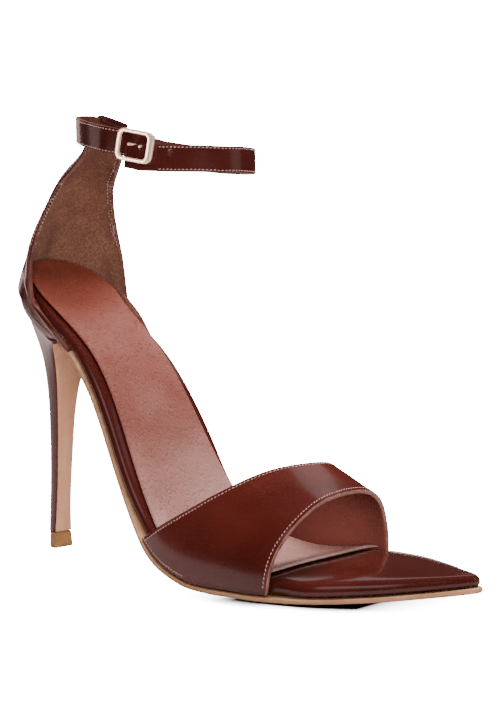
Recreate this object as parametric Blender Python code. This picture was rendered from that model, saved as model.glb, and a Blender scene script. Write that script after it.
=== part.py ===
"""High stiletto sandal, right foot: closed heel counter, ankle strap with a buckle,
one wide vamp strap and an open, pointed toe.

Metres, +Z up. X runs towards the toe, +Y is the inner (medial) side. The floor is
z = 0, and the origin is the centre of the heel tip's flat bottom.

Every layer of the sole is laid on one moulded surface, last_point(x, y, height):
x is the floor distance from the back of the seat, y the distance from the shoe's
axis, and height the distance from the outsole's lower face, along its normal.
"""
import math

import bmesh
import bpy
from mathutils import Vector

# Driving sizes of the last
SOLE_LENGTH = 0.214       # back of the seat to the toe tip, along the floor
HEEL_RISE = 0.110         # outsole line at the back of the seat, above the floor
BALL_WIDTH = 0.0752       # widest place of the forefoot
SEAT_WIDTH = 0.048        # heel seat of the board
TOE_SPRING = 0.0042       # lift of the outsole under the toe tip
TOE_RADIUS = 0.0045       # rounding of the pointed toe
BALL_LEAN = 0.20          # how far the bend of the ball leans back on the outer side
SEAT_CUP = 0.0035         # how far the rim of the heel seat is raised
TOE_DOME = 0.0042         # crown of the covered toe

# Layers of the sole, from the floor upwards
CLEARANCE = 0.0003
OUTSOLE_THICK = 0.0020
BOARD_THICK = 0.0042
SOCK_THICK = 0.0014
SOCK_MARGIN = 0.0048      # board left bare beside the sock lining
SOCK_BOW = 0.0070         # how far the lining's front edge curves forward
BOARD_LEVEL = OUTSOLE_THICK + CLEARANCE
SOCK_LEVEL = BOARD_LEVEL + BOARD_THICK + CLEARANCE

# Upper
LEATHER_WALL = 0.0018     # leather and lining of counter and vamp strap
COUNTER_REBATE = 0.0012   # how far the board's side steps in under the counter
COUNTER_BULGE = 0.0005    # how far the counter swells between its foot and its wall
VAMP_BACK_HEIGHT = 0.0430
VAMP_FRONT_HEIGHT = 0.0340

# Heel
TIP_HEIGHT = 0.0064
TIP_WIDTH = 0.0094
TIP_DEPTH = 0.0072
HEEL_SET = 0.0075         # back of the seat to the middle of the tip
BREAST_COVER_THICK = 0.0010
HEEL_FRONT = 0.036        # back of the seat to the top of the heel's breast
RIM_DEPTH = 0.0022        # band of the rim below the sole's lower face
RIM_TAPER = 0.92          # how far the rim has drawn in at that depth

# Ankle strap
STRAP_WIDTH = 0.0096
STRAP_THICK = 0.0017
LOOP_LENGTH = 0.0760      # ankle loop, back to front
LOOP_WIDTH = 0.0500
LOOP_BACK = 0.0375        # back of the seat to the back of the loop
LOOP_BACK_HEIGHT = 0.1695
COUNTER_TOP = LOOP_BACK_HEIGHT - CLEARANCE    # the tab ends behind the strap
LOOP_FALL = 0.228         # the loop's slope down to the front
INNER_DROP = 0.0062       # how much lower the inner side hangs
OUTER_DROP = 0.0004       # how much lower the outer side hangs
FOLD_WALL = 0.0008        # leather folded over the strap at the tab
FOLD_LEG = 0.0016         # how far the fold reaches down inside the strap
FOLD_START = -math.radians(4)
FOLD_END = -math.radians(26)
HOLE_DIAMETER = 0.0020
HOLE_PITCH = 0.0110

# Buckle
FRAME_LENGTH = 0.0164
FRAME_HEIGHT = 0.0118
FRAME_BAR = 0.0019
FRAME_FRONT_BAR = 0.0026  # the flat bar on the toe's side
FRAME_THICK = 0.0015
PRONG_DIAMETER = 0.0012

# Outline of the board: share of the length, outer and inner half width.
# The seat's rows are shares of SEAT_WIDTH, the forepart's of BALL_WIDTH.
SEAT_PLAN = [
    (0.000, 0.500, 0.500),
    (0.110, 0.500, 0.500),
    (0.220, 0.500, 0.460),
]
FOREPART_PLAN = [
    (0.340, 0.365, 0.262),
    (0.465, 0.462, 0.290),
    (0.570, 0.492, 0.375),
    (0.670, 0.502, 0.498),
    (0.770, 0.460, 0.464),
    (0.875, 0.310, 0.322),
    (0.957, 0.122, 0.150),
    (1.000, 0.020, 0.060),
]

# Side profile of the outsole: share of the length, share of HEEL_RISE
PROFILE = [
    (-0.040, 1.052),
    (0.000, 1.000),
    (0.100, 0.870),
    (0.200, 0.738),
    (0.280, 0.566),
    (0.342, 0.375),
    (0.404, 0.192),
    (0.465, 0.080),
    (0.530, 0.025),
    (0.590, 0.000),
    (1.000, 0.000),
]
TOE_SPRING_START = 0.70   # share of the length

# Heel block, tip to seat: heights of the section's back and front as shares of
# HEEL_RISE; its back, front and half width as shares of SEAT_WIDTH
HEEL_SECTIONS = [
    (0.062, 0.062, 0.082, 0.233, 0.088),
    (0.140, 0.140, 0.088, 0.246, 0.077),
    (0.218, 0.218, 0.100, 0.262, 0.074),
    (0.366, 0.366, 0.119, 0.294, 0.082),
    (0.479, 0.479, 0.125, 0.318, 0.093),
    (0.559, 0.550, 0.126, 0.338, 0.107),
    (0.636, 0.623, 0.119, 0.365, 0.133),
    (0.718, 0.686, 0.106, 0.410, 0.182),
    (0.790, 0.736, 0.090, 0.480, 0.262),
    (0.868, 0.770, 0.072, 0.590, 0.370),
    (0.935, 0.784, 0.048, 0.690, 0.455),
]

# Counter above the board, as shares of the rise from board to tab and of
# SEAT_WIDTH: height and setback of the back seam, height and setback of the
# front edge, half width at that edge
COUNTER_SECTIONS = [
    (0.14, 0.152, 0.115, 0.535, 0.552),
    (0.30, 0.304, 0.30, 0.515, 0.540),
    (0.46, 0.441, 0.46, 0.530, 0.472),
    (0.61, 0.559, 0.60, 0.571, 0.391),
    (0.76, 0.663, 0.74, 0.650, 0.312),
    (0.88, 0.812, 0.89, 0.876, 0.225),
    (1.00, 0.836, 1.00, 0.886, 0.200),
]
COUNTER_FOOT = 0.205      # front end of the counter's foot, share of SOLE_LENGTH
COUNTER_POINT = 1.25      # exponent of its outline from above, 1 is a half ellipse

# Vamp strap: turn from the outer to the inner side as a share, then back and
# front edge as shares of SOLE_LENGTH
VAMP_EDGES = [
    (0.00, 0.407, 0.717),
    (0.10, 0.467, 0.726),
    (0.20, 0.537, 0.739),
    (0.30, 0.598, 0.749),
    (0.40, 0.635, 0.751),
    (0.55, 0.668, 0.745),
    (0.70, 0.630, 0.729),
    (0.85, 0.560, 0.710),
    (1.00, 0.490, 0.700),
]
VAMP_ROUNDNESS = 0.80     # exponent of the arch, 1 is an ellipse

# Inner side of the ankle loop: share of the way from its back to its front, and
# how low it hangs there as a share of INNER_DROP
INNER_HANG = [
    (0.00, 0.00),
    (0.11, 0.32),
    (0.22, 0.79),
    (0.32, 1.00),
    (0.50, 0.88),
    (0.67, 0.52),
    (0.83, 0.16),
    (1.00, 0.00),
]

ROWS = 44                 # stations along each layer of the sole
COLUMNS = 6               # stations across it


def clamp(value, low=0.0, high=1.0):
    return max(low, min(high, value))


def mix(a, b, share):
    return a + (b - a) * share


def ease(value):
    """Smooth step from 0 to 1."""
    t = clamp(value)
    return t * t * (3 - 2 * t)


def table_value(rows, column, at):
    """Read a column of a table at a place between its rows, without overshoot."""
    if at <= rows[0][0]:
        return rows[0][column]
    if at >= rows[-1][0]:
        return rows[-1][column]
    slopes = [(b[column] - a[column]) / (b[0] - a[0]) for a, b in zip(rows, rows[1:])]
    tangents = [slopes[0]]
    for before, after in zip(slopes, slopes[1:]):
        level = before * after <= 0
        tangents.append(0.0 if level else 2 * before * after / (before + after))
    tangents.append(slopes[-1])
    i = max(k for k in range(len(rows) - 1) if rows[k][0] <= at)
    span = rows[i + 1][0] - rows[i][0]
    t = (at - rows[i][0]) / span
    return (
        (1 + 2 * t) * (1 - t) ** 2 * rows[i][column]
        + t * (1 - t) ** 2 * span * tangents[i]
        + t * t * (3 - 2 * t) * rows[i + 1][column]
        - t * t * (1 - t) * span * tangents[i + 1]
    )


PLAN = [(s, a * SEAT_WIDTH, b * SEAT_WIDTH) for s, a, b in SEAT_PLAN] + [
    (s, a * BALL_WIDTH, b * BALL_WIDTH) for s, a, b in FOREPART_PLAN
]


def half_widths(x):
    """Outer and inner half width of the board at x, rounded off at both ends."""
    share = x / SOLE_LENGTH
    outer = table_value(PLAN, 1, share)
    inner = table_value(PLAN, 2, share)
    radius = SEAT_WIDTH / 2
    if x < radius:
        close = math.sqrt(max(0.0, 1 - ((radius - x) / radius) ** 2))
        return outer * close, inner * close
    rest = SOLE_LENGTH - x
    if rest < TOE_RADIUS:
        middle, half = (inner - outer) / 2, (inner + outer) / 2
        tip = mix(half, TOE_RADIUS, 1 - rest / TOE_RADIUS)
        half = tip * math.sqrt(max(0.0, 1 - (1 - rest / TOE_RADIUS) ** 2))
        return half - middle, half + middle
    return outer, inner


def sole_height(x, y):
    """Height of the outsole's lower face above the floor."""
    lean = BALL_LEAN * ease((x / SOLE_LENGTH - 0.20) / 0.15)
    share = (x - lean * y) / SOLE_LENGTH
    lift = clamp((share - TOE_SPRING_START) / (1 - TOE_SPRING_START), 0.0, 1.2)
    return HEEL_RISE * table_value(PROFILE, 1, share) + TOE_SPRING * lift ** 2.2


def crown(x, y):
    """How far the upper face of the sole is raised: a rim at the seat, a domed toe."""
    radius = SEAT_WIDTH / 2
    reach = clamp(math.hypot(max(0.0, radius - x), y) / radius)
    rim = SEAT_CUP * reach * reach * (1 - ease((x - 0.6 * radius) / radius))
    share = x / SOLE_LENGTH
    outer, inner = half_widths(x)
    across = clamp(abs(y / max(outer if y < 0 else inner, 0.0001)))
    toe = ease((share - 0.62) / 0.12) * (1 - ease((share - 0.78) / 0.22))
    return rim + TOE_DOME * toe * (1 - across ** 4)


def last_point(x, y, height):
    """World point at x from the back of the seat and y from the axis."""
    step = 0.0002
    slope_x = (sole_height(x + step, y) - sole_height(x - step, y)) / (2 * step)
    slope_y = (sole_height(x, y + step) - sole_height(x, y - step)) / (2 * step)
    normal = Vector((-slope_x, -slope_y, 1.0)).normalized()
    above = clamp((height - OUTSOLE_THICK) / BOARD_THICK)
    return Vector((x - HEEL_SET, y, sole_height(x, y))) + normal * (height + crown(x, y) * above)


def new_material(name, colour, roughness, metallic=0.0):
    material = bpy.data.materials.new(name)
    material.use_nodes = True
    shader = material.node_tree.nodes["Principled BSDF"]
    shader.inputs["Base Color"].default_value = (*colour, 1.0)
    shader.inputs["Roughness"].default_value = roughness
    shader.inputs["Metallic"].default_value = metallic
    material.diffuse_color = (*colour, 1.0)
    return material


def finish(name, mesh_data, material, sharp_angle=40):
    """Turn a bmesh into one named, outward-facing, smooth-shaded object."""
    bmesh.ops.remove_doubles(mesh_data, verts=mesh_data.verts, dist=0.000002)
    bmesh.ops.dissolve_degenerate(mesh_data, edges=mesh_data.edges, dist=0.000001)
    bmesh.ops.recalc_face_normals(mesh_data, faces=mesh_data.faces)
    mesh = bpy.data.meshes.new(name)
    mesh_data.to_mesh(mesh)
    mesh_data.free()
    mesh.materials.append(material)
    mesh.shade_smooth()
    mesh.set_sharp_from_angle(angle=math.radians(sharp_angle))
    piece = bpy.data.objects.new(name, mesh)
    bpy.context.collection.objects.link(piece)
    return piece


def loft(mesh_data, sections):
    """Skin closed sections of equal count and cap both ends."""
    rings = [[mesh_data.verts.new(p) for p in section] for section in sections]
    count = len(rings[0])
    for lower, upper in zip(rings, rings[1:]):
        for i in range(count):
            k = (i + 1) % count
            mesh_data.faces.new((lower[i], lower[k], upper[k], upper[i]))
    mesh_data.faces.new(rings[0][::-1])
    mesh_data.faces.new(rings[-1])


def shell(mesh_data, outer, inner):
    """Close the space between two equal grids of points: a wall of real thickness."""
    rows, columns = len(outer), len(outer[0])
    skins = []
    for grid in (outer, inner):
        skins.append([[mesh_data.verts.new(p) for p in row] for row in grid])
    for skin in skins:
        for i in range(rows - 1):
            for j in range(columns - 1):
                quad = (skin[i][j], skin[i][j + 1], skin[i + 1][j + 1], skin[i + 1][j])
                mesh_data.faces.new(quad)
    border = [(0, j) for j in range(columns)]
    border += [(i, columns - 1) for i in range(1, rows)]
    border += [(rows - 1, j) for j in range(columns - 2, -1, -1)]
    border += [(i, 0) for i in range(rows - 2, 0, -1)]
    for (i, j), (k, m) in zip(border, border[1:] + border[:1]):
        mesh_data.faces.new((skins[0][i][j], skins[0][k][m], skins[1][k][m], skins[1][i][j]))


def inward(grid, distance):
    """Grid of points moved along its own normal, towards the inside of the wall."""
    rows, columns = len(grid), len(grid[0])
    moved = []
    for i in range(rows):
        row = []
        for j in range(columns):
            along = grid[min(i + 1, rows - 1)][j] - grid[max(i - 1, 0)][j]
            across = grid[i][min(j + 1, columns - 1)] - grid[i][max(j - 1, 0)]
            row.append(grid[i][j] + across.cross(along).normalized() * distance)
        moved.append(row)
    return moved


def side_rows(start, end):
    """Outer and inner plan points from start to end.

    All layers share their stations, which lie closer together at heel and toe.
    """
    stations = [SOLE_LENGTH * (1 - math.cos(math.pi * i / ROWS)) / 2 for i in range(ROWS + 1)]
    places = [start] + [x for x in stations if start < x < end] + [end]
    rows = []
    for x in places:
        outer, inner = half_widths(x)
        rows.append((Vector((x, -outer)), Vector((x, inner))))
    return rows


def inset_rows(rows, distance, margin, open_back, open_front):
    """Move the outline of a layer inwards, measured square to it."""
    last = len(rows) - 1
    moved = []
    for i, pair in enumerate(rows):
        step = distance + margin(pair[0].x)
        new_pair = []
        for side in (0, 1):
            before = rows[max(i - 1, 0)][side]
            after = rows[min(i + 1, last)][side]
            if i == 0 and not open_back:
                before = rows[1][1 - side]
            if i == last and not open_front:
                after = rows[last - 1][1 - side]
            tangent = (after - before).normalized()
            turn = 1 if side == 0 else -1
            point = pair[side] + Vector((-tangent.y, tangent.x)) * step * turn
            if i == 0 and open_back:
                point.x = pair[side].x + distance
            if i == last and open_front:
                point.x = pair[side].x - distance
            new_pair.append(point)
        moved.append(tuple(new_pair))
    return moved


def no_margin(x):
    return 0.0


def sole_layer(name, rows, sections, material, margin=no_margin, open_back=False,
               open_front=False, bow=0.0):
    """A plate moulded to the last.

    rows are its outline, sections the (inset, height) pairs of its edge from the
    lower face round to the upper one, margin how far it stays inside the outline,
    and bow how far its open front runs forward.
    """
    mesh_data = bmesh.new()
    last = len(rows) - 1
    grids = []
    for inset, height in sections:
        grid = []
        outline = inset_rows(rows, inset, margin, open_back, open_front)
        for i, (outer, inner) in enumerate(outline):
            line = []
            for j in range(COLUMNS + 1):
                share = j / COLUMNS
                place = outer.lerp(inner, share)
                forward = bow * 4 * share * (1 - share) * (i / last) ** 6
                line.append(last_point(place.x + forward, place.y, height))
            grid.append(line)
        grids.append(grid)
    border = [(i, 0) for i in range(last)] + [(last, j) for j in range(COLUMNS)]
    border += [(i, COLUMNS) for i in range(last, 0, -1)] + [(0, j) for j in range(COLUMNS, 0, -1)]
    verts = [[[mesh_data.verts.new(p) for p in row] for row in grid] for grid in (grids[0], grids[-1])]
    for skin in verts:
        for i in range(last):
            for j in range(COLUMNS):
                quad = (skin[i][j], skin[i][j + 1], skin[i + 1][j + 1], skin[i + 1][j])
                mesh_data.faces.new(quad)
    loops = [[verts[0][i][j] for i, j in border]]
    loops += [[mesh_data.verts.new(grid[i][j]) for i, j in border] for grid in grids[1:-1]]
    loops += [[verts[1][i][j] for i, j in border]]
    for lower, upper in zip(loops, loops[1:]):
        for i in range(len(border)):
            k = (i + 1) % len(border)
            mesh_data.faces.new((lower[i], lower[k], upper[k], upper[i]))
    return finish(name, mesh_data, material)


def side_rebate(x):
    """How far the board's side steps in where the counter or vamp strap wraps it."""
    start = VAMP_EDGES[0][1] * SOLE_LENGTH
    end = VAMP_EDGES[0][2] * SOLE_LENGTH
    run = 0.006
    here = ease((x - start + 2 * run) / run) * (1 - ease((x - end - run) / run))
    seat = COUNTER_REBATE * (1 - ease((x - COUNTER_FOOT * SOLE_LENGTH) / run))
    return 0.0004 + (LEATHER_WALL + CLEARANCE) * here + seat


def make_outsole(material):
    rows = side_rows(HEEL_FRONT + 2 * CLEARANCE, SOLE_LENGTH)
    sections = [
        (0.0006, 0.0),
        (0.0, 0.0005),
        (0.0, OUTSOLE_THICK - 0.0003),
        (0.0004, OUTSOLE_THICK),
    ]
    return sole_layer("outsole", rows, sections, material, open_back=True)


def make_board(material):
    rows = side_rows(0.0, SOLE_LENGTH)
    low, high = BOARD_LEVEL, BOARD_LEVEL + BOARD_THICK
    sections = [
        (0.0012, low),
        (0.0003, low + 0.12 * BOARD_THICK),
        (0.0, low + 0.38 * BOARD_THICK),
        (0.0002, low + 0.64 * BOARD_THICK),
        (0.0010, low + 0.90 * BOARD_THICK),
        (0.0024, high),
    ]
    return sole_layer("insole_board", rows, sections, material, side_rebate)


def sock_margin(x):
    """The sock lining fills the seat and leaves a bare edge further forward."""
    return mix(0.10, 1.0, ease(x / SEAT_WIDTH * 1.5)) * SOCK_MARGIN


def make_sock(material):
    """Padded sock lining, which ends under the front edge of the vamp strap."""
    front = (VAMP_EDGES[0][2] - 0.020) * SOLE_LENGTH
    rows = side_rows(0.0, front)
    sections = [
        (0.0006, SOCK_LEVEL),
        (0.0, SOCK_LEVEL + 0.4 * SOCK_THICK),
        (0.0004, SOCK_LEVEL + 0.85 * SOCK_THICK),
        (0.0012, SOCK_LEVEL + SOCK_THICK),
    ]
    return sole_layer(
        "sock_lining", rows, sections, material, sock_margin, open_front=True, bow=SOCK_BOW)


def heel_section(back, front, half_width, back_height, front_height, count=17, across=5):
    """D-shaped section: a rounded back and a flat breast, as world points."""
    points = []
    for i in range(count):
        turn = math.pi * (i / (count - 1) - 0.5)
        x = front - (front - back) * abs(math.cos(turn)) ** 0.9
        points.append((x, half_width * math.sin(turn)))
    points += [(front, mix(half_width, -half_width, (i + 1) / across)) for i in range(across - 1)]
    world = []
    for x, y in points:
        share = (x - back) / (front - back)
        world.append(Vector((x - HEEL_SET, y, mix(back_height, front_height, share))))
    return world


def rim_section(count=17, across=5):
    """Top of the heel: the outline of the seat, as floor points."""
    points = []
    for i in range(count):
        turn = math.pi * (i / (count - 1) - 0.5)
        x = HEEL_FRONT * (1 - abs(math.cos(turn)))
        outer, inner = half_widths(x)
        points.append((x, -outer if turn < 0 else inner))
    low, high = points[0][1], points[-1][1]
    return points + [(HEEL_FRONT, mix(high, low, (i + 1) / across)) for i in range(across - 1)]


def make_heel(material):
    """Stiletto block, lofted from the tip to the cupped seat, breast side flat."""
    mesh_data = bmesh.new()
    sections = []
    steps = 3
    cover = BREAST_COVER_THICK + CLEARANCE
    rows = [(i / (len(HEEL_SECTIONS) - 1),) + row for i, row in enumerate(HEEL_SECTIONS)]
    count = (len(rows) - 1) * steps
    for k in range(count + 1):
        values = [table_value(rows, c, k / count) for c in range(1, 6)]
        back_z, front_z = values[0] * HEEL_RISE, values[1] * HEEL_RISE
        if k == 0:
            back_z = front_z = TIP_HEIGHT + CLEARANCE
        back, front, half = [v * SEAT_WIDTH for v in values[2:]]
        sections.append(heel_section(back, front - cover, half, back_z, front_z))
    centre_x = SEAT_WIDTH * 0.42
    rings = [(RIM_TAPER, -RIM_DEPTH)] + [(share, OUTSOLE_THICK) for share in (1.0, 0.8, 0.55, 0.3, 0.1)]
    for share, level in rings:
        rim = rim_section()
        sections.append([last_point(mix(centre_x, x, share), y * share, level) for x, y in rim])
    loft(mesh_data, sections)
    return finish("heel_block", mesh_data, material)


def make_breast_cover(material):
    """Thin leather flap on the flat front of the heel."""
    mesh_data = bmesh.new()
    rows = [(i / (len(HEEL_SECTIONS) - 1),) + row for i, row in enumerate(HEEL_SECTIONS)]
    sections = []
    count = 24
    for k in range(count + 1):
        values = [table_value(rows, c, 0.92 * k / count) for c in range(1, 6)]
        height = values[1] * HEEL_RISE
        if k == 0:
            height = TIP_HEIGHT + CLEARANCE
        front, half = values[3] * SEAT_WIDTH, values[4] * SEAT_WIDTH
        ring = []
        for share in (-1.0, -0.5, 0.0, 0.5, 1.0):
            ring.append(Vector((front - BREAST_COVER_THICK - HEEL_SET, half * 0.985 * share, height)))
        for share in (1.0, 0.5, 0.0, -0.5, -1.0):
            bulge = 0.0002 * (1 - share * share)
            ring.append(Vector((front + bulge - HEEL_SET, half * 0.955 * share, height)))
        sections.append(ring)
    loft(mesh_data, sections)
    return finish("heel_breast_cover", mesh_data, material)


def make_heel_tip(material):
    """Top piece: D-shaped, flat towards the front, standing on the floor."""
    mesh_data = bmesh.new()
    sections = []
    for height, grow in ((0.0, 1.0), (0.45, 0.97), (0.94, 0.92), (1.0, 0.88)):
        half = TIP_WIDTH / 2 * grow
        depth = TIP_DEPTH / 2 * grow
        level = height * TIP_HEIGHT
        front = HEEL_SET + depth
        sections.append(heel_section(HEEL_SET - depth, front, half, level, level))
    loft(mesh_data, sections)
    return finish("heel_tip", mesh_data, material)


def counter_foot(turn):
    """Lower edge of the counter beside the board, which runs forward along the waist."""
    x = COUNTER_FOOT * SOLE_LENGTH * (1 - math.cos(turn))
    outer, inner = half_widths(x)
    y = -outer if turn < 0 else inner
    away = Vector((min(x - SEAT_WIDTH / 2, 0.0), y)).normalized()
    wall = LEATHER_WALL + CLEARANCE - COUNTER_REBATE
    return last_point(x + away.x * wall, y + away.y * wall, BOARD_LEVEL)


def counter_grid():
    """Outer face of the counter: rows from the board's foot up to the tab."""
    seam = last_point(0.0, 0.0, BOARD_LEVEL + BOARD_THICK)
    edge = last_point(0.16 * SOLE_LENGTH, 0.0, BOARD_LEVEL + BOARD_THICK)
    count = 24
    turns = [math.pi * (j / count - 0.5) for j in range(count + 1)]
    levels = [(i / (len(COUNTER_SECTIONS) - 1),) + r for i, r in enumerate(COUNTER_SECTIONS)]
    steps = 2 * (len(levels) - 1)
    walls = []
    for k in range(steps + 1):
        back_up, back_x, edge_up, edge_x, half = [table_value(levels, c, k / steps) for c in range(1, 6)]
        back_z = mix(seam.z, COUNTER_TOP, back_up)
        edge_z = mix(edge.z, COUNTER_TOP - 0.0025, edge_up)
        back_x, edge_x, half = [v * SEAT_WIDTH for v in (back_x, edge_x, half)]
        row = []
        for turn in turns:
            share = 1 - abs(math.cos(turn)) ** COUNTER_POINT
            x = mix(back_x, edge_x, share)
            row.append(Vector((x - HEEL_SET, half * math.sin(turn), mix(back_z, edge_z, share))))
        walls.append(row)
    foot = [counter_foot(turn) for turn in turns]
    grid = [foot]
    for share in (1 / 3, 2 / 3):
        row = []
        for turn, low, high in zip(turns, foot, walls[0]):
            swell = COUNTER_BULGE * 4 * share * (1 - share)
            row.append(low.lerp(high, share) + Vector((-math.cos(turn), math.sin(turn), 0.0)) * swell)
        grid.append(row)
    return grid + walls


def make_counter(material):
    """Closed heel counter, one curved wall that narrows to the tab."""
    mesh_data = bmesh.new()
    outer = counter_grid()
    inner = inward(outer, LEATHER_WALL)
    shell(mesh_data, outer, inner)
    return finish("heel_counter", mesh_data, material)


def vamp_point(turn, across):
    """Outer face of the vamp strap; turn runs from the outer side to the inner one."""
    back = table_value(VAMP_EDGES, 1, turn) * SOLE_LENGTH
    front = table_value(VAMP_EDGES, 2, turn) * SOLE_LENGTH
    x = mix(back, front, across)
    outer, inner = half_widths(x)
    angle = math.pi * turn
    side = -outer if turn < 0.5 else inner
    y = side * abs(math.cos(angle)) ** VAMP_ROUNDNESS
    inner_share = ease((turn - 0.3) / 0.4)
    outer_foot = last_point(x, -outer, BOARD_LEVEL + CLEARANCE)
    foot = outer_foot.lerp(last_point(x, inner, BOARD_LEVEL + CLEARANCE), inner_share)
    rise = max(0.0, math.sin(angle)) ** VAMP_ROUNDNESS
    crest = mix(VAMP_BACK_HEIGHT, VAMP_FRONT_HEIGHT, across)
    return Vector((mix(foot.x, x - HEEL_SET, ease(rise)), y, mix(foot.z, crest, rise)))


def make_vamp_strap(material):
    """Wide strap across the toes, wrapped round the board's side to the outsole."""
    mesh_data = bmesh.new()
    turns, steps = 30, 8
    outer = []
    for i in range(steps + 1):
        outer.append([vamp_point(j / turns, i / steps) for j in range(turns + 1)])
    inner = inward(outer, LEATHER_WALL)
    shell(mesh_data, outer, inner)
    return finish("vamp_strap", mesh_data, material)


def loop_point(angle, outward=0.0, along=0.0):
    """Centre line of the ankle loop; angle 0 is its back, 90 degrees its outer side."""
    half_length, half_width = LOOP_LENGTH / 2, LOOP_WIDTH / 2
    centre = LOOP_BACK + half_length
    x = centre - half_length * math.cos(angle)
    y = -half_width * math.sin(angle)
    normal = Vector((-half_width * math.cos(angle), -half_length * math.sin(angle))).normalized()
    drop = OUTER_DROP * max(0.0, math.sin(angle)) ** 1.5
    if angle < 0:
        drop = INNER_DROP * table_value(INNER_HANG, 1, min(-angle / math.pi, 2 + angle / math.pi))
    z = LOOP_BACK_HEIGHT - LOOP_FALL * (x - LOOP_BACK) - drop
    return Vector((x + normal.x * outward - HEEL_SET, y + normal.y * outward, z + along))


def strap_up(angle):
    """Direction across the strap, from its lower to its upper edge."""
    tangent = (loop_point(angle + 0.01) - loop_point(angle - 0.01)).normalized()
    side = Vector((tangent.y, -tangent.x, 0.0)).normalized()
    up = side.cross(tangent).normalized()
    return -up if up.z < 0 else up


def strap_ring(angle, outward, taper=1.0):
    """Cross-section of the strap: a flat band with softened edges."""
    ring = []
    half, thick = STRAP_WIDTH / 2 * taper, STRAP_THICK
    profile = [
        (0.0, -0.90), (0.12, -1.0), (0.88, -1.0), (1.0, -0.90),
        (1.0, 0.90), (0.88, 1.0), (0.12, 1.0), (0.0, 0.90),
    ]
    up = strap_up(angle)
    for depth, height in profile:
        ring.append(loop_point(angle, outward + depth * thick) + up * height * half)
    return ring


def angle_at(x):
    """Loop angle where the loop passes a distance x from the back of the seat."""
    share = clamp((LOOP_BACK + LOOP_LENGTH / 2 - x) / (LOOP_LENGTH / 2), -1.0, 1.0)
    return math.acos(share)


BUCKLE_X = LOOP_BACK + 0.640 * LOOP_LENGTH      # middle of the buckle frame
STRAP_END_X = BUCKLE_X - 0.32 * FRAME_LENGTH    # tip of the strap, inside the frame
FIRST_HOLE_X = BUCKLE_X + 0.10 * FRAME_LENGTH
UNDERLAP = STRAP_THICK + PRONG_DIAMETER + 3 * CLEARANCE


def make_ankle_strap(material):
    """Long strap: from the tab round the inner side and the front to the buckle."""
    mesh_data = bmesh.new()
    start = math.radians(5.5)
    end = angle_at(STRAP_END_X) - 2 * math.pi
    count = 64
    sections = []
    for k in range(count + 1):
        angle = mix(start, end, k / count)
        taper = 1.0
        if k > count - 2:
            taper = 0.86
        sections.append(strap_ring(angle, 0.0, taper))
    loft(mesh_data, sections)
    return finish("ankle_strap", mesh_data, material)


def make_buckle_strap(material):
    """Short strap: from the tab along the outer side, under the buckle."""
    mesh_data = bmesh.new()
    start = math.radians(7)
    end = angle_at(FIRST_HOLE_X + 0.15 * FRAME_LENGTH)
    sink_from = angle_at(STRAP_END_X - 0.011)
    sink_to = angle_at(STRAP_END_X - 0.003)
    count = 26
    sections = []
    for k in range(count + 1):
        angle = mix(start, end, k / count)
        sink = UNDERLAP * ease((angle - sink_from) / (sink_to - sink_from))
        sections.append(strap_ring(angle, -sink))
    loft(mesh_data, sections)
    return finish("buckle_strap", mesh_data, material)


def buckle_frame_axes():
    """Middle of the buckle and its directions along, up and out of the strap."""
    angle = angle_at(BUCKLE_X)
    middle = loop_point(angle, STRAP_THICK)
    along = (loop_point(angle + 0.02) - loop_point(angle - 0.02)).normalized()
    out = (loop_point(angle, 1.0) - loop_point(angle)).normalized()
    out = (out - along * out.dot(along)).normalized()
    up = along.cross(out).normalized()
    if up.z < 0:
        up = -up
    return middle, along, up, out


def rounded_rectangle(half_length, half_height, radius, steps=5):
    corners = ((1, 1, 0), (-1, 1, 90), (-1, -1, 180), (1, -1, 270))
    points = []
    for sx, sy, start in corners:
        for i in range(steps + 1):
            turn = math.radians(start + 90 * i / steps)
            points.append((
                sx * (half_length - radius) + radius * math.cos(turn),
                sy * (half_height - radius) + radius * math.sin(turn),
            ))
    return points


def make_buckle_frame(material):
    """Flat rounded-rectangle frame that lies on the strap."""
    middle, along, up, out = buckle_frame_axes()
    sag = (FRAME_LENGTH / 2) ** 2 / LOOP_LENGTH * 0.55
    lift = CLEARANCE * 2
    outer = rounded_rectangle(FRAME_LENGTH / 2, FRAME_HEIGHT / 2, 0.0030)
    inner_length = (FRAME_LENGTH - FRAME_BAR - FRAME_FRONT_BAR) / 2
    shift = (FRAME_BAR - FRAME_FRONT_BAR) / 2
    inner = rounded_rectangle(inner_length, FRAME_HEIGHT / 2 - FRAME_BAR * 0.8, 0.0016)
    inner = [(a + shift, b) for a, b in inner]
    mesh_data = bmesh.new()
    edge = FRAME_THICK * 0.25

    def place(points, depth, pull):
        ring = []
        for a, b in points:
            drop = sag * (a / (FRAME_LENGTH / 2)) ** 2
            scale = 1 + pull
            ring.append(middle + along * a * scale + up * b * scale + out * (lift + depth - drop))
        return ring

    profile = [
        (outer, 0.0, -0.02), (outer, edge, 0.0), (outer, FRAME_THICK - edge, 0.0),
        (outer, FRAME_THICK, -0.03), (inner, FRAME_THICK, 0.05), (inner, FRAME_THICK - edge, 0.0),
        (inner, 0.0, 0.0),
    ]
    rings = [[mesh_data.verts.new(p) for p in place(*row)] for row in profile]
    for ring, following in zip(rings, rings[1:] + rings[:1]):
        for i in range(len(ring)):
            k = (i + 1) % len(ring)
            mesh_data.faces.new((ring[i], ring[k], following[k], following[i]))
    return finish("buckle_frame", mesh_data, material)


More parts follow.
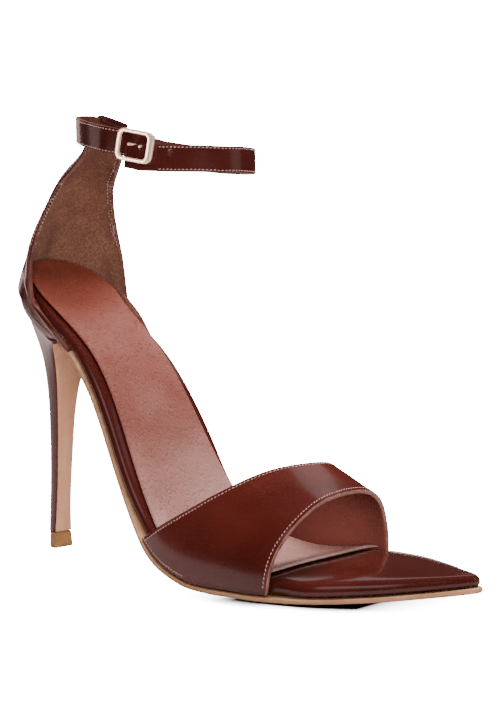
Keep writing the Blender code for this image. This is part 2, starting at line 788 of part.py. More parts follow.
def tube(mesh_data, points, radius, sides=8):
    """Round rod through a few points, with flat ends."""
    sections = []
    for i, point in enumerate(points):
        ahead = points[min(i + 1, len(points) - 1)]
        behind = points[max(i - 1, 0)]
        tangent = (ahead - behind).normalized()
        first = tangent.cross(Vector((0, 0, 1))).normalized()
        second = tangent.cross(first).normalized()
        ring = []
        for k in range(sides):
            turn = 2 * math.pi * k / sides
            ring.append(point + first * radius * math.cos(turn) + second * radius * math.sin(turn))
        sections.append(ring)
    loft(mesh_data, sections)


def make_buckle_prong(material):
    """Prong between the two straps, its tip up through the first hole."""
    level = -CLEARANCE - PRONG_DIAMETER / 2
    base = loop_point(angle_at(STRAP_END_X - 0.0005), level)
    bend = loop_point(angle_at(FIRST_HOLE_X - 0.0006), level)
    turn = loop_point(angle_at(FIRST_HOLE_X), level + 0.0004)
    tip = loop_point(angle_at(FIRST_HOLE_X), STRAP_THICK + 0.0007)
    mesh_data = bmesh.new()
    tube(mesh_data, [base, base.lerp(bend, 0.5), bend, turn, tip], PRONG_DIAMETER / 2)
    return finish("buckle_prong", mesh_data, material)


def punch_holes(strap):
    """Cut the strap's holes with round cutters, which stay as hidden guides."""
    for number in range(2):
        angle = angle_at(FIRST_HOLE_X + number * HOLE_PITCH)
        middle = loop_point(angle, STRAP_THICK / 2)
        direction = loop_point(angle, 1.0) - loop_point(angle)
        bpy.ops.mesh.primitive_cylinder_add(
            vertices=16, radius=HOLE_DIAMETER / 2, depth=STRAP_THICK * 3, location=middle)
        cutter = bpy.context.active_object
        cutter.name = f"hole_cutter_{number + 1}"
        cutter.rotation_mode = "QUATERNION"
        cutter.rotation_quaternion = direction.to_track_quat("Z", "Y")
        cutter.hide_render = True
        cutter.display_type = "WIRE"
        cut = strap.modifiers.new(f"punch_{number + 1}", "BOOLEAN")
        cut.operation = "DIFFERENCE"
        cut.object = cutter


def make_strap_sleeve(material):
    """The tab's leather folded over the ankle strap, open at the lower inner side."""
    mesh_data = bmesh.new()
    half = STRAP_WIDTH / 2
    inside, outside = -CLEARANCE, STRAP_THICK + CLEARANCE
    top = half + CLEARANCE
    profile = [
        (inside - FOLD_WALL, half - FOLD_LEG), (inside - FOLD_WALL, top + FOLD_WALL),
        (outside + FOLD_WALL, top + FOLD_WALL), (outside + FOLD_WALL, -half),
        (outside, -half), (outside, top), (inside, top), (inside, half - FOLD_LEG),
    ]
    count = 8
    sections = []
    for k in range(count + 1):
        angle = mix(FOLD_START, FOLD_END, k / count)
        up = strap_up(angle)
        sections.append([loop_point(angle, depth) + up * height for depth, height in profile])
    loft(mesh_data, sections)
    return finish("strap_sleeve", mesh_data, material)


def main():
    for old in list(bpy.data.objects):
        bpy.data.objects.remove(old)
    glossy = new_material("glossy_upper_leather", (0.055, 0.012, 0.009), 0.16)
    tan = new_material("tan_outsole", (0.50, 0.27, 0.14), 0.50)
    wrapped = new_material("glossy_board_wrap", (0.045, 0.010, 0.008), 0.14)
    sock = new_material("smooth_sock_leather", (0.27, 0.105, 0.07), 0.45)
    block = new_material("glossy_heel_wrap", (0.055, 0.014, 0.010), 0.18)
    nude = new_material("nude_breast_leather", (0.62, 0.36, 0.23), 0.55)
    tip = new_material("tan_tip", (0.42, 0.24, 0.09), 0.45)
    counter = new_material("glossy_counter_leather", (0.055, 0.012, 0.009), 0.16)
    strap = new_material("glossy_ankle_strap", (0.055, 0.012, 0.009), 0.18)
    short = new_material("glossy_buckle_strap", (0.055, 0.012, 0.009), 0.18)
    sleeve = new_material("sleeve_leather", (0.04, 0.010, 0.008), 0.25)
    gold = new_material("pale_gold_frame", (0.85, 0.66, 0.50), 0.20, 1.0)
    prong = new_material("pale_gold_prong", (0.85, 0.66, 0.50), 0.20, 1.0)

    make_outsole(tan)
    make_board(wrapped)
    make_sock(sock)
    make_heel(block)
    make_breast_cover(nude)
    make_heel_tip(tip)
    make_counter(counter)
    make_vamp_strap(glossy)
    punch_holes(make_ankle_strap(strap))
    make_buckle_strap(short)
    make_strap_sleeve(sleeve)
    make_buckle_frame(gold)
    make_buckle_prong(prong)


main()
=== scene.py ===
# %% [markdown]
# # A strappy stiletto sandal
# The solids of this shoe were drawn first, as CAD. This lesson dresses them: each
# solid is copied, rounded and given its leather, suede or metal, and the small things
# that a solid leaves out, the stitches, are added as pieces of their own. A seam is drawn into the
# suede.
# Everything is in metres. X points to the toe, Y to the inner side of the foot, Z up.

import math

import bmesh
import bpy
from mathutils import Matrix, Vector
from mathutils.bvhtree import BVHTree


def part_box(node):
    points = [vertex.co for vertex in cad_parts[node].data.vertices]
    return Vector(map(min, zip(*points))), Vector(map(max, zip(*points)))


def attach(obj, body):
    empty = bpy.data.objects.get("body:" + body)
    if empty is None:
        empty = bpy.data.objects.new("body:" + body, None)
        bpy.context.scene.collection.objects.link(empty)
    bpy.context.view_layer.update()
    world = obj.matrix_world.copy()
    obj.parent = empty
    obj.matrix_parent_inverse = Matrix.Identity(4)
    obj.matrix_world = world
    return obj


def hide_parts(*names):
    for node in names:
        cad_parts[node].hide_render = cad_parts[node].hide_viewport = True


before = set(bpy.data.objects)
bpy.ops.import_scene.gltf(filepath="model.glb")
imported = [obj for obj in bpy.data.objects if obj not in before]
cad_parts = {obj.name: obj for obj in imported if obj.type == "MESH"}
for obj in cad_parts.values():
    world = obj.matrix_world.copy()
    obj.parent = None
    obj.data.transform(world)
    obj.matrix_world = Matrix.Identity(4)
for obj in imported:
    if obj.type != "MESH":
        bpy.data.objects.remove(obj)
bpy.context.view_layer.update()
MM = 0.001
print("solids:", len(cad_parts))

# %% [markdown]
# ## Camera
# The picture was taken from the outer side, turned 42 degrees towards the toe, and
# almost level with the floor. A camera could be aimed with a constraint, but its matrix
# is worked out here, so that the slight roll of the picture is exact.

# %% Place the camera
AZIMUTH, ELEVATION, ROLL = (math.radians(a) for a in (41.77, 3.30, -1.51))
AIM = Vector((0.1088, 0.0, 0.0788))
DISTANCE = 0.580
FOCAL_PIXELS, FRAME_HEIGHT_PIXELS, SENSOR_MM = 1586, 722, 36

towards_camera = Vector((
    math.sin(AZIMUTH) * math.cos(ELEVATION),
    -math.cos(AZIMUTH) * math.cos(ELEVATION),
    math.sin(ELEVATION),
))
level_right = (-towards_camera).cross(Vector((0, 0, 1))).normalized()
level_up = level_right.cross(-towards_camera)
camera_right = math.cos(ROLL) * level_right + math.sin(ROLL) * level_up
camera_up = math.cos(ROLL) * level_up - math.sin(ROLL) * level_right
camera_place = Matrix((camera_right, camera_up, towards_camera)).transposed().to_4x4()
camera_place.translation = AIM + DISTANCE * towards_camera

camera = bpy.data.objects.new("camera", bpy.data.cameras.new("camera"))
camera.data.sensor_width = SENSOR_MM
camera.data.lens = FOCAL_PIXELS / FRAME_HEIGHT_PIXELS * SENSOR_MM
camera.data.clip_start = 0.02
camera.matrix_world = camera_place
bpy.context.scene.collection.objects.link(camera)
bpy.context.scene.camera = camera
print("camera at", [round(v, 3) for v in camera_place.translation], "lens", round(camera.data.lens, 1))

# %% [markdown]
# ## Materials as maths
# A material is a graph of nodes. Wiring it by hand is slow to read, so a small class
# stands for one output of a node, and Python's own operators add the Math nodes. Any
# other node comes from one method, which takes its settings and its inputs.

# %% A wire that can be calculated with
class Wire:
    """One output of a material's node. Adding or multiplying it makes Math nodes."""

    def __init__(self, finish, socket):
        self.finish, self.socket = finish, socket

    def __add__(self, other):
        return self.finish.maths("ADD", self, other)

    def __sub__(self, other):
        return self.finish.maths("SUBTRACT", self, other)

    def __rsub__(self, other):
        return self.finish.maths("SUBTRACT", other, self)

    def __mul__(self, other):
        return self.finish.maths("MULTIPLY", self, other)

    def __pow__(self, other):
        return self.finish.maths("POWER", self, other)

    __radd__, __rmul__ = __add__, __mul__


# %% A material under construction
class Finish:
    """A Principled material, its constants set at once and its patterns wired later."""

    def __init__(self, name, **constants):
        self.material = bpy.data.materials.new(name)
        self.material.use_nodes = True
        self.nodes, self.links = self.material.node_tree.nodes, self.material.node_tree.links
        self.shader = self.nodes["Principled BSDF"]
        for socket, value in constants.items():
            self.plug(self.shader.inputs[socket.replace("_", " ")], value)
        self.place = self.node("TexCoord", {}, {}, "Object")

    def plug(self, socket, value):
        if isinstance(value, Wire):
            self.links.new(value.socket, socket)
        else:
            socket.default_value = value

    def node(self, kind, settings, inputs, output=0):
        made = self.nodes.new("ShaderNode" + kind)
        for setting, value in settings.items():
            if setting == "stops":
                made.color_ramp.elements[0].position, made.color_ramp.elements[1].position = value
            else:
                setattr(made, setting, value)
        for socket, value in inputs.items():
            self.plug(made.inputs[socket], value)
        return Wire(self, made.outputs[output])

    def maths(self, operation, a, b):
        return self.node("Math", {"operation": operation}, {0: a, 1: b})

    def mix(self, share, colour_a, colour_b):
        return self.node("Mix", {"data_type": "RGBA"}, {0: share, 6: colour_a, 7: colour_b}, 2)

    def stretched(self, scale):
        """The object's own coordinates, squeezed or stretched along each axis."""
        return self.node("Mapping", {}, {"Vector": self.place, "Scale": scale})

    def clouds(self, scale, detail=2.0, where=None, distortion=0.0):
        return self.node("TexNoise", {}, {
            "Vector": where or self.place, "Scale": scale,
            "Detail": detail, "Distortion": distortion})

    def cells(self, scale, where=None):
        return self.node("TexVoronoi", {}, {"Vector": where or self.place, "Scale": scale})

    def between(self, value, low, high):
        """0 below low and 1 above high, with a soft step between them."""
        ramp = {"stops": (low, high)}
        return self.node("ValToRGB", ramp, {0: value})

    def axis(self, name):
        return self.node("SeparateXYZ", {}, {0: self.place}, name)

    def colour(self, wire):
        self.plug(self.shader.inputs["Base Color"], wire)

    def roughness(self, wire):
        self.plug(self.shader.inputs["Roughness"], wire)

    def bump(self, height, depth, strength=1.0):
        made = self.node("Bump", {}, {"Strength": strength, "Distance": depth, "Height": height})
        self.plug(self.shader.inputs["Normal"], made)


STUDIO_SHARE = 0.50       # the studio is bright, so painted colours are set this much darker


def linear(red, green, blue, share=STUDIO_SHARE):
    """A colour picked in the usual 0 to 255 scale, as light values."""
    values = []
    for part in (red, green, blue):
        part /= 255
        values.append(share * (part / 12.92 if part <= 0.04045 else ((part + 0.055) / 1.055) ** 2.4))
    return (*values, 1.0)


print("maker of materials ready")

# %% [markdown]
# ## Glossy leather
# The upper, board and heel are covered in a polished reddish-brown leather. It is
# almost a mirror at a flat angle, so the base stays dark, and a thin coat carries the
# gloss. Slow clouds vary the tone and bend the surface a little, very fine ones are the
# pores, and long thin ones leave scuffs in the gloss.

# %% Glossy brown leather
def glossy_leather(name, dark, warm, gloss, grain=1.0):
    finish = Finish(name, Specular_IOR_Level=0.32, Coat_Weight=0.18, Coat_Roughness=0.06)
    patches = finish.clouds(26, 3.0)
    pores = finish.clouds(2600, 2.0)
    scuffs = finish.clouds(1, 4.0, finish.stretched((60, 60, 240)))
    finish.colour(finish.mix(finish.between(patches, 0.35, 0.68), dark, warm))
    finish.roughness(gloss + patches * 0.05 + finish.between(scuffs, 0.55, 0.8) * 0.05)
    finish.bump(finish.clouds(95, 2.0) * 0.45 + pores * (0.10 * grain), 0.00016)
    return finish.material


upper_leather = glossy_leather("upper_leather", linear(66, 21, 16), linear(84, 30, 22), 0.17)
strap_leather = glossy_leather("strap_leather", linear(62, 21, 17), linear(80, 30, 24), 0.20, 1.6)
board_leather = glossy_leather("board_leather", linear(60, 20, 16), linear(74, 27, 22), 0.13)
heel_leather = glossy_leather("heel_leather", linear(74, 27, 23), linear(92, 36, 31), 0.22)
print("glossy leathers:", upper_leather.name, strap_leather.name, board_leather.name, heel_leather.name)

# %% [markdown]
# ## Suede lining
# The inside of the heel counter is lined with suede. Its nap is a felt of short fibres
# that stand in all directions, so it scatters light and looks speckled. Sheen gives the
# soft pale edge, and fine noise gives the speckle and the brushed, uneven tone. A short,
# faint seam runs down the back.

# %% Suede of the heel lining
SEAM_FOOT = 0.119               # height at which the seam down the back crosses the middle
SEAM_LEAN = 0.3                 # how far it leans aside for each step upwards
SEAM_EDGE = (0.00008, 0.00055)  # distances from its middle at which it thins out
SEAM_FADE = (0.129, 0.136)      # heights between which it fades away
SEAM_DARKNESS = 0.4


def suede():
    finish = Finish("suede_lining", Roughness=0.95, Sheen_Weight=0.35, Sheen_Roughness=0.5,
                    Sheen_Tint=linear(205, 165, 140), Specular_IOR_Level=0.15)
    nap = finish.clouds(1500, 3.0)
    brushed = finish.clouds(1, 4.0, finish.stretched((70, 70, 28)), 0.8)
    base = finish.mix(finish.between(brushed, 0.3, 0.72), linear(120, 80, 64), linear(164, 118, 96))
    speckled = finish.mix(finish.between(nap, 0.42, 0.62), linear(98, 62, 49), base)
    height = finish.axis("Z")
    aside = finish.axis("Y") + (height - SEAM_FOOT) * SEAM_LEAN
    beside = finish.node("Math", {"operation": "ABSOLUTE"}, {0: aside})
    seam = (1 - finish.between(beside, *SEAM_EDGE)) * (1 - finish.between(height, *SEAM_FADE))
    napped = finish.mix(0.62, base, speckled)
    finish.colour(finish.mix(seam * SEAM_DARKNESS, napped, linear(60, 34, 27)))
    finish.bump(nap + finish.clouds(420, 3.0) * 0.6 - seam * 1.5, 0.00022, 0.9)
    return finish.material


suede_lining = suede()

# %% [markdown]
# ## Sock and strap lining leather
# The footbed is a soft, matt, pinkish-brown leather, finely wrinkled where it is pulled
# over the pad, and deeper in tone at the heel, which is painted shade where the counter
# closes over it. Stretched cells give the creases, and clouds give pale, rubbed places.

# %% Smooth lining leather
# The heel's deeper tones are painted shade, where the counter closes over the sock.
HEEL_SHADE_FADE = (0.022, 0.125)   # forward places between which the heel's tones give way


def lining_leather(name, deep, pale, rough, wrinkle, shaded_heel_tones=None):
    finish = Finish(name, Specular_IOR_Level=0.45)
    patches = finish.clouds(22, 3.0)
    creases = finish.cells(1, finish.stretched((620, 900, 620)))
    pores = finish.clouds(1900, 2.0)
    toned = finish.mix(finish.between(patches, 0.3, 0.7), deep, pale)
    # At the heel the tone turns darker and redder: painted shade, where the counter closes over the
    # sock.
    if shaded_heel_tones:
        shaded_heel = finish.mix(patches, *shaded_heel_tones)
        toned = finish.mix(finish.between(finish.axis("X"), *HEEL_SHADE_FADE), shaded_heel, toned)
    finish.colour(finish.mix(finish.between(creases, 0.0, 0.16) * 0.25 + 0.75, deep, toned))
    finish.roughness(rough + patches * 0.10)
    finish.bump(finish.between(creases, 0.0, 0.45) * wrinkle + pores * 0.5, 0.00014)
    return finish.material


# The last pair of colours is the painted shade at the heel.
sock_leather = lining_leather(
    "sock_leather", linear(128, 80, 70), linear(190, 148, 140), 0.33, 2.4,
    (linear(112, 48, 35), linear(144, 70, 54)))
strap_lining = lining_leather("strap_lining", linear(76, 36, 30), linear(100, 54, 44), 0.42, 0.4)
vamp_lining = lining_leather("vamp_lining", linear(124, 60, 50), linear(156, 86, 74), 0.42, 0.4)
print("linings:", suede_lining.name, sock_leather.name, strap_lining.name)

# %% [markdown]
# ## Sole, heel breast, tip and cut edges
# The sole leaf is tan leather with a buffed edge, and the breast of the heel carries a
# nude leather flap. Cut edges are painted or raw. All of them are matt, with streaks
# along the direction in which they were buffed.

# %% Buffed and raw leather
def buffed_leather(name, deep, pale, rough, streak, grain=900):
    finish = Finish(name, Specular_IOR_Level=0.4)
    streaks = finish.clouds(1, 4.0, finish.stretched(streak))
    fibres = finish.clouds(grain, 3.0)
    toned = finish.mix(finish.between(streaks, 0.32, 0.7), deep, pale)
    finish.colour(finish.mix(finish.between(fibres, 0.3, 0.6) * 0.35 + 0.65, deep, toned))
    finish.roughness(rough + streaks * 0.15)
    finish.bump(fibres + streaks * 0.5, 0.0001, 0.7)
    return finish.material


tan_sole = buffed_leather(
    "tan_sole", linear(168, 118, 84), linear(198, 150, 114), 0.42, (40, 160, 300))
nude_breast = buffed_leather(
    "nude_breast", linear(238, 168, 124), linear(252, 196, 154), 0.42, (90, 160, 30))
tip_resin = buffed_leather(
    "tip_resin", linear(164, 112, 62), linear(192, 142, 88), 0.38, (120, 120, 240), 1500)
painted_edge = buffed_leather(
    "painted_edge", linear(92, 46, 40), linear(128, 78, 70), 0.24, (200, 200, 200))
lining_edge = buffed_leather(
    "lining_edge", linear(118, 68, 58), linear(184, 132, 116), 0.45, (200, 200, 200))
raw_edge = buffed_leather(
    "raw_edge", linear(150, 110, 84), linear(214, 176, 146), 0.7, (500, 500, 500), 2200)
print("buffed:", tan_sole.name, nude_breast.name, tip_resin.name)
print("edges:", painted_edge.name, lining_edge.name, raw_edge.name)

# %% [markdown]
# ## Pale gold and thread
# The buckle is polished, pale gold plating with hair-fine scratches. The thread is a
# dull mauve twist, a tone lighter than the leather.

# %% Pale gold and thread
gold = Finish("pale_gold", Metallic=0.72, Specular_IOR_Level=0.8)
hair_lines = gold.clouds(1, 3.0, gold.stretched((300, 3000, 2600)))
gold.colour(gold.mix(gold.clouds(60, 2.0), linear(252, 206, 182, 1.0), linear(255, 232, 216, 1.0)))
gold.roughness(0.10 + gold.between(hair_lines, 0.45, 0.75) * 0.10)
gold.bump(hair_lines, 0.00003)
pale_gold = gold.material

twist = Finish("mauve_thread", Roughness=0.55, Sheen_Weight=0.3, Sheen_Roughness=0.4)
plies = twist.clouds(5200, 1.0)
twist.colour(twist.mix(plies, linear(154, 106, 98), linear(220, 178, 168)))
twist.bump(plies, 0.00008)
mauve_thread = twist.material
print("metal and thread:", pale_gold.name, mauve_thread.name)

# %% [markdown]
# ## Rounding the solids
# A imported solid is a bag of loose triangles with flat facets. A copy is welded, its
# triangles are paired into quads, and a Subdivision Surface rounds it. Edges sharper
# than a set angle get a crease, so that cut leather keeps its edge. While the copy is
# still coarse, each face is told which material it wears.

# %% Weld, pair and round
WELD = 0.00001
CREASE_FROM = math.radians(48)
PAIR_FLATNESS, PAIR_SKEW = math.radians(14), math.radians(70)
UPRIGHT_SHARE = 0.7       # share of an upright edge's length that is height
ROUNDING_LEVELS = 2


def one_side(face):
    """Every face of a piece wears its first material."""
    return 0


def never(edge):
    """No sharp edge of a piece is left without its crease."""
    return False


def upright(edge):
    """Whether an edge runs up and down, as those round the outline of a sole do."""
    run = edge.verts[1].co - edge.verts[0].co
    return abs(run.z) > UPRIGHT_SHARE * run.length


def dressed(node, name, materials, side_of=one_side, crease=0.75, soft=never):
    """A rounded copy that stands for a solid.

    side_of picks the material of a face, and soft the edges that get no crease.
    """
    mesh_data = bmesh.new()
    mesh_data.from_mesh(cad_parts[node].data)
    bmesh.ops.remove_doubles(mesh_data, verts=mesh_data.verts, dist=WELD)
    bmesh.ops.join_triangles(
        mesh_data, faces=mesh_data.faces,
        angle_face_threshold=PAIR_FLATNESS, angle_shape_threshold=PAIR_SKEW)
    creases = mesh_data.edges.layers.float.new("crease_edge")
    for edge in mesh_data.edges:
        if edge.is_manifold and edge.calc_face_angle() > CREASE_FROM and not soft(edge):
            edge[creases] = crease
    for face in mesh_data.faces:
        face.material_index = side_of(face)
        face.smooth = True
    mesh = bpy.data.meshes.new(name)
    mesh_data.to_mesh(mesh)
    mesh_data.free()
    for material in materials:
        mesh.materials.append(material)
    piece = bpy.data.objects.new(name, mesh)
    bpy.context.scene.collection.objects.link(piece)
    rounding = piece.modifiers.new("rounding", "SUBSURF")
    rounding.levels = rounding.render_levels = ROUNDING_LEVELS
    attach(piece, "root")
    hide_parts(node)
    print(name, "faces before rounding:", len(mesh.polygons))
    return piece


# %% [markdown]
# ## Sole, board and sock
# The layers under the foot are moulded to one another. The sole leaf is tan, the board
# is wrapped in the glossy leather, and the sock lining is a thin padded sheet whose cut
# front edge is left raw.

# %% Dress the layers under the foot
FACING = 0.5              # share of a normal that counts as facing a way
RAW_CUT_FROM = 0.125      # forward place from which the sock's cut is left raw


def sock_side(face):
    """Only the front end of the sock shows its raw cut."""
    return 1 if face.normal.z < FACING and face.calc_center_median().x > RAW_CUT_FROM else 0


dressed("outsole", "sole_leaf", [tan_sole], soft=upright)
dressed(
    "insole_board", "wrapped_board", [board_leather], crease=0.25, soft=upright)
sock = dressed(
    "sock_lining", "padded_sock", [sock_leather, raw_edge], sock_side)

# %% [markdown]
# ## Heel
# The heel is a moulded block wrapped in the glossy leather, with a nude flap glued on
# its flat front and a resin tip nailed under it.

# %% Dress the heel
dressed("heel_block", "wrapped_heel", [heel_leather])
dressed("heel_breast_cover", "breast_flap", [nude_breast])
dressed("heel_tip", "top_piece", [tip_resin])

# %% [markdown]
# ## Counter, vamp strap and ankle straps
# These are thin walls. Their outer face is glossy and their inner face is lined. The cut
# rim between them is painted, but the vamp strap's is left pale and matt. A face's side
# is read from its normal: away from the middle of the foot, towards it, or across.

# %% Dress the upper
OUTSIDE, LINED, RIM = 0, 1, 2
COUNTER_MIDDLE = (         # height, forward place
    (0.104, 0.018),
    (0.137, 0.021),
    (0.147, 0.027),
    (0.156, 0.045),
    (0.170, 0.062),
)
VAMP_MIDDLE = 0.006       # height from which the vamp strap is looked at
LOOP_MIDDLE = 0.068       # forward place of the middle of the ankle loop
LOOP_FOLLOW = 0.45        # share of a face's distance that the loop's middle follows


def side_from(face, middle):
    """Outside, lined or rim, as seen from a place in the middle of the foot."""
    away = face.calc_center_median() - middle
    facing = face.normal.dot(away.normalized())
    return OUTSIDE if facing > FACING else LINED if facing < -FACING else RIM


def counter_side(face):
    """The counter leans forward, so the middle to look from moves with the height."""
    centre = face.calc_center_median()
    low, high = COUNTER_MIDDLE[0], COUNTER_MIDDLE[-1]
    for below, above in zip(COUNTER_MIDDLE, COUNTER_MIDDLE[1:]):
        if below[0] <= centre.z <= above[0]:
            low, high = below, above
    share = min(max((centre.z - low[0]) / (high[0] - low[0]), 0.0), 1.0)
    return side_from(face, Vector((low[1] + share * (high[1] - low[1]), 0.0, centre.z)))


def vamp_side(face):
    centre = face.calc_center_median()
    return side_from(face, Vector((centre.x, 0.0, min(centre.z, VAMP_MIDDLE))))


def loop_side(face):
    centre = face.calc_center_median()
    middle = LOOP_MIDDLE + LOOP_FOLLOW * (centre.x - LOOP_MIDDLE)
    return side_from(face, Vector((middle, 0.0, centre.z)))


counter = dressed(
    "heel_counter", "lined_counter",
    [upper_leather, suede_lining, painted_edge], counter_side)
vamp = dressed(
    "vamp_strap", "lined_vamp_strap",
    [upper_leather, vamp_lining, lining_edge], vamp_side)
ankle = dressed(
    "ankle_strap", "long_ankle_strap",
    [strap_leather, strap_lining, painted_edge], loop_side)
short_strap = dressed(
    "buckle_strap", "short_buckle_strap",
    [strap_leather, strap_lining, painted_edge], loop_side)
dressed("strap_sleeve", "stitched_sleeve", [strap_leather])

# %% [markdown]
# ## Buckle
# The frame is a cast rounded rectangle with softened edges, and the prong is a thin
# wire. Both keep their CAD shape, rounded a little more.

# %% Dress the buckle
buckle = dressed("buckle_frame", "gold_frame", [pale_gold], crease=0.25)
prong = dressed("buckle_prong", "gold_prong", [pale_gold], crease=0.2)

# %% [markdown]
# ## Stitches
# Every edge of the upper is sewn down a millimetre or so from the cut. The rim of the
# outer face is found on the rounded mesh, walked round as a loop, moved inwards, and
# laid back on the surface. Each stitch is a small grain of thread, a little slanted.

# %% Walk round the rim of a side
SHORTEST_LOOP = 12        # points; a shorter border is a sliver


def rounded_mesh(piece):
    """The piece as the modifiers leave it, as a bmesh of its own."""
    evaluated = piece.evaluated_get(bpy.context.evaluated_depsgraph_get())
    mesh_data = bmesh.new()
    mesh_data.from_mesh(evaluated.to_mesh())
    evaluated.to_mesh_clear()
    return mesh_data


def rim_loops(mesh_data, side):
    """Closed loops of (place, normal, inward) along the border of one side."""
    border = {}
    for edge in mesh_data.edges:
        own = [face for face in edge.link_faces if face.material_index == side]
        if len(own) == 1 and len(edge.link_faces) == 2:
            for vert in edge.verts:
                border.setdefault(vert, []).append((edge.other_vert(vert), own[0]))
    loops, seen = [], set()
    for start in border:
        if start in seen:
            continue
        loop, here = [], start
        while here is not None and here not in seen:
            seen.add(here)
            face = border[here][0][1]
            loop.append((here.co.copy(), face.normal.copy(), face.calc_center_median() - here.co))
            here = next((vert for vert, _ in border[here] if vert not in seen), None)
        if len(loop) > SHORTEST_LOOP:
            loops.append(loop)
    return loops


# %% Lay a line of stitches beside the rim
LONGEST_STEP = 6          # pitches; a longer step is a jump to another part of the rim
NO_STEP = 1e-7


def seam_line(loop, tree, inset):
    """The loop moved inwards over the surface, as (place, normal) pairs."""
    line = []
    count = len(loop)
    for i, (place, normal, inward) in enumerate(loop):
        along = (loop[(i + 2) % count][0] - loop[i - 2][0]).normalized()
        across = normal.cross(along).normalized()
        if across.dot(inward) < 0:
            across.negate()
        found, found_normal, _, _ = tree.find_nearest(place + across * inset)
        line.append((found, found_normal))
    return line


def even_places(line, pitch, keep):
    """Places at equal steps along the parts of a closed line that keep() accepts."""
    places, walked = [], 0.0
    for (here, normal), (ahead, next_normal) in zip(line, line[1:] + line[:1]):
        step = (ahead - here).length
        if step > LONGEST_STEP * pitch or step < NO_STEP:
            continue
        along = (ahead - here).normalized()
        while walked < step:
            share = walked / step
            spot = here.lerp(ahead, share)
            if keep(spot):
                places.append((spot, normal.lerp(next_normal, share).normalized(), along))
            walked += pitch
        walked -= step
    return places


# %% One grain of thread, and a row of them
STITCH_PITCH = 1.45 * MM
STITCH_LENGTH, STITCH_WIDTH, STITCH_HEIGHT = 1.02 * MM, 0.42 * MM, 0.36 * MM
STITCH_SLANT = math.radians(9)
STITCH_LIFT = 0.02 * MM
SHORTEST_SEAM = 40 * MM   # a punched hole has a rim too, but no stitches


def stitch_rows(name, piece, side, inset, keep):
    """Rows of stitches beside the rim of one side, where keep() accepts the place."""
    surface = rounded_mesh(piece)
    own_side = surface.copy()
    strange = [face for face in own_side.faces if face.material_index != side]
    bmesh.ops.delete(own_side, geom=strange, context="FACES")
    tree = BVHTree.FromBMesh(own_side)
    thread = bmesh.new()
    total = 0
    for loop in rim_loops(surface, side):
        if sum((b[0] - a[0]).length for a, b in zip(loop, loop[1:])) < SHORTEST_SEAM:
            continue
        line = seam_line(loop, tree, inset)
        for spot, normal, along in even_places(line, STITCH_PITCH, keep):
            across = normal.cross(along).normalized()
            turned = along * math.cos(STITCH_SLANT) + across * math.sin(STITCH_SLANT)
            across = normal.cross(turned).normalized()
            place = Matrix((turned, across, normal)).transposed().to_4x4()
            place.translation = spot + normal * STITCH_LIFT
            size = Matrix.Diagonal(
                (STITCH_LENGTH / 2, STITCH_WIDTH / 2, STITCH_HEIGHT / 2, 1.0))
            lying = Matrix.Rotation(math.radians(90), 4, "Y")
            bmesh.ops.create_uvsphere(
                thread, u_segments=6, v_segments=4, radius=1.0, matrix=place @ size @ lying)
            total += 1
    surface.free()
    own_side.free()
    mesh = bpy.data.meshes.new(name)
    thread.to_mesh(mesh)
    thread.free()
    mesh.shade_smooth()
    mesh.materials.append(mauve_thread)
    row = bpy.data.objects.new(name, mesh)
    bpy.context.scene.collection.objects.link(row)
    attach(row, "root")
    print(name, "stitches:", total)


# %% Sew the upper
UPPER_INSET, STRAP_INSET = 1.3 * MM, 0.9 * MM
VAMP_SEWN_FROM = 0.0050   # height from which the vamp strap is sewn
BACK_SEWN_FROM = 0.124    # height of the topline at the back of the counter
SIDE_SEWN_FROM = 0.106    # and along its sides, from SIDES_START forward
SIDES_START = 0.017

frame_low, frame_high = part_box("buckle_frame")


def above_the_sole(place):
    return place.z > VAMP_SEWN_FROM


def clear_of_buckle(place):
    """The straps aren't sewn where the buckle's frame lies over them."""
    return place.y > 0 or not frame_low[0] < place.x < frame_high[0]


def on_topline(place):
    at_side = place.x > SIDES_START and place.z > SIDE_SEWN_FROM
    return place.z > BACK_SEWN_FROM or at_side


bpy.context.view_layer.update()
for name, piece, side, inset, keep, slot in (
        ("vamp_stitches", vamp, OUTSIDE, UPPER_INSET, above_the_sole, "upper_leather"),
        ("ankle_strap_stitches", ankle, OUTSIDE, STRAP_INSET, clear_of_buckle, "strap_leather"),
        ("buckle_strap_stitches", short_strap, OUTSIDE, STRAP_INSET, clear_of_buckle, "strap_leather"),
        ("counter_stitches", counter, OUTSIDE, UPPER_INSET, on_topline, "upper_leather"),
        ("lining_stitches", counter, LINED, UPPER_INSET, on_topline, "upper_leather")):
    stitch_rows(name, piece, side, inset, keep)

# %% [markdown]
# ## Floor and light
# The shoe stands on a plain white floor, which glows for the camera only. Its contact
# shadow isn't cast by a lamp: under the ball of the foot the glow is dimmed where the
# sole closes the floor off. Two strong softboxes light the shoe and aren't mirrored in
# it, five weaker ones draw its highlights, and one lamp lights the buckle alone. The
# rest of the studio is dim, so that the polished leather stays deep.

# %% Floor
BACKDROP_LIGHT = 30.0
FLOOR_SIZE = 6.0
FLOOR_BOUNCE = (0.32, 0.25, 0.24, 1.0)   # what the shoe sees of the floor
BLACK = (0.0, 0.0, 0.0, 1.0)
CONTACT_REACH = 0.014                    # height over the floor that still dims it
CONTACT_OPENNESS = (0.45, 0.99)          # full shadow, and none
CONTACT_FALLOFF = 4
CONTACT_STARTS = (0.095, 0.130)          # forward places where the shadow comes in
CONTACT_ENDS = (0.176, 0.212)            # and where it goes out

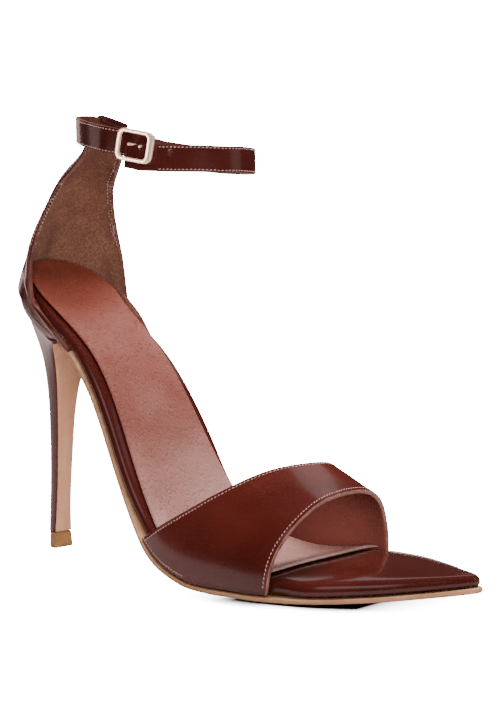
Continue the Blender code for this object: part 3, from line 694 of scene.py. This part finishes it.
floor_data = bmesh.new()
bmesh.ops.create_grid(floor_data, x_segments=1, y_segments=1, size=FLOOR_SIZE)
floor_mesh = bpy.data.meshes.new("floor")
floor_data.to_mesh(floor_mesh)
floor_data.free()
floor = bpy.data.objects.new("floor", floor_mesh)
bpy.context.scene.collection.objects.link(floor)
floor_finish = Finish("white_floor", Roughness=0.7, Specular_IOR_Level=0.0)
direct = floor_finish.node("LightPath", {}, {}, "Is Camera Ray")
floor_finish.colour(floor_finish.mix(direct, FLOOR_BOUNCE, BLACK))
openness = floor_finish.node(
    "AmbientOcclusion", {"samples": 16}, {"Distance": CONTACT_REACH}, "AO")
forward = floor_finish.axis("X")
before_toe = 1 - floor_finish.between(forward, *CONTACT_ENDS)
under_ball = floor_finish.between(forward, *CONTACT_STARTS) * before_toe
lit = floor_finish.between(openness, *CONTACT_OPENNESS) ** CONTACT_FALLOFF
shaded = (1 - lit) * under_ball
glow = (1 - shaded) * direct
floor_finish.plug(floor_finish.shader.inputs["Emission Color"], glow)
floor_finish.plug(floor_finish.shader.inputs["Emission Strength"], BACKDROP_LIGHT)
floor_mesh.materials.append(floor_finish.material)

# %% Softboxes and studio
MIDDLE = (0.09, 0.0, 0.07)
BUCKLE = (0.055, -0.03, 0.155)
WHITE, WARM, PALE_GOLD_LIGHT = (1, 1, 1), (1.0, 0.66, 0.60), (1.0, 0.80, 0.70)
STUDIO_LIGHT = (0.055, 0.034, 0.031, 1.0)


def softbox(name, place, width, height, power, mirrored=True, colour=WHITE, aim=MIDDLE):
    """An area lamp that looks at its aim; it may light the shoe without a reflection."""
    light = bpy.data.lights.new(name, "AREA")
    light.shape = "RECTANGLE"
    light.size, light.size_y, light.energy = width, height, power
    light.color = colour
    lamp = bpy.data.objects.new(name, light)
    place = Vector(place)
    lamp.rotation_euler = (Vector(aim) - place).to_track_quat("-Z", "Y").to_euler()
    lamp.location = place
    lamp.visible_glossy = mirrored
    bpy.context.scene.collection.objects.link(lamp)
    return lamp


softbox("overhead_softbox", (0.05, 0.22, 1.15), 1.1, 1.1, 75, mirrored=False)
buckle_card = softbox(
    "buckle_card", (-0.34, -0.70, 0.13), 0.5, 0.4, 5.0, colour=PALE_GOLD_LIGHT, aim=BUCKLE)
metal_only = bpy.data.collections.new("metal_only")
metal_only.objects.link(buckle)
metal_only.objects.link(prong)
buckle_card.light_linking.receiver_collection = metal_only
softbox("toe_softbox", (0.95, -0.70, 0.30), 0.5, 0.5, 20, mirrored=False)
softbox("far_softbox", (-0.25, 0.80, 0.95), 1.0, 0.45, 1.3)
softbox("rim_softbox", (-0.95, 0.28, 0.40), 0.22, 0.8, 1.1, colour=WARM)
softbox("left_softbox", (-0.95, -0.45, 0.45), 0.4, 0.9, 1.5, colour=WARM)
softbox("right_softbox", (0.95, 0.45, 0.45), 0.5, 0.9, 1.0)
softbox("front_softbox", (0.55, -1.10, 1.10), 0.9, 0.5, 3)

world = bpy.data.worlds.new("studio")
bpy.context.scene.world = world
world.use_nodes = True
tree = world.node_tree
seen_directly = tree.nodes.new("ShaderNodeLightPath").outputs["Is Camera Ray"]
backdrop = tree.nodes.new("ShaderNodeMix")
backdrop.data_type = "RGBA"
backdrop.inputs[6].default_value = STUDIO_LIGHT
backdrop.inputs[7].default_value = (BACKDROP_LIGHT, BACKDROP_LIGHT, BACKDROP_LIGHT, 1.0)
tree.links.new(seen_directly, backdrop.inputs[0])
tree.links.new(backdrop.outputs[2], tree.nodes["Background"].inputs["Color"])
